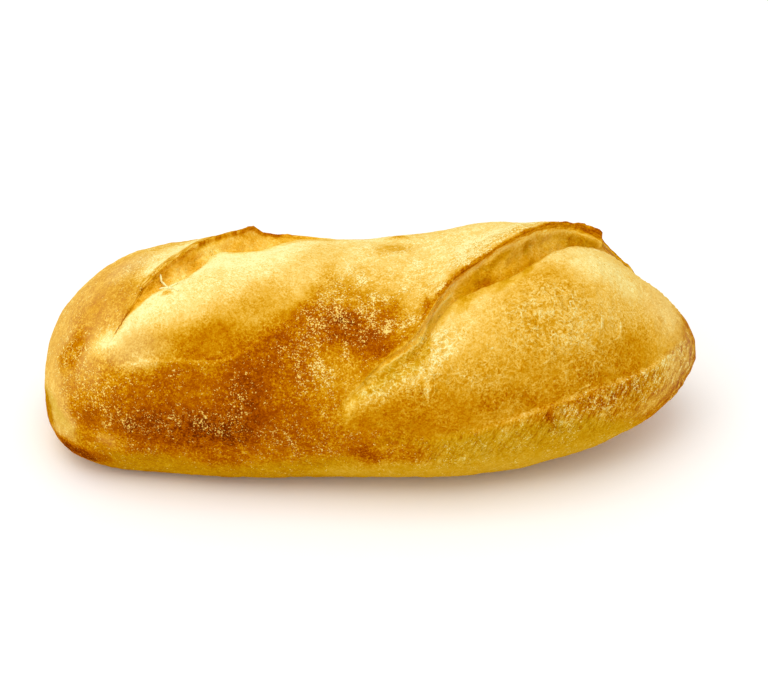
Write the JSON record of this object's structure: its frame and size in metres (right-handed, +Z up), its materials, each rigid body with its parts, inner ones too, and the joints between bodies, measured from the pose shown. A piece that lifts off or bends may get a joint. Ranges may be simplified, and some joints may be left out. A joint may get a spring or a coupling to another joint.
{
  "type": "baguette",
  "caption": "Short baked baguette, blunt at one end and pointed at the other, with slanting slashes opened into raised crust ears over a pale inside.",
  "frame": {"origin": "on the surface that the loaf rests on, under the middle of its length", "axes": "+X along the loaf to its pointed end, +Y to its back, away from the open slashes, +Z up"},
  "size_m": [0.1948, 0.0843, 0.0664],
  "materials": {
    "crust": "matte baked crust, golden to dark brown, dusted with flour"
  },
  "bodies": {
    "root": {"loaf": "crust"}
  },
  "joints": []
}
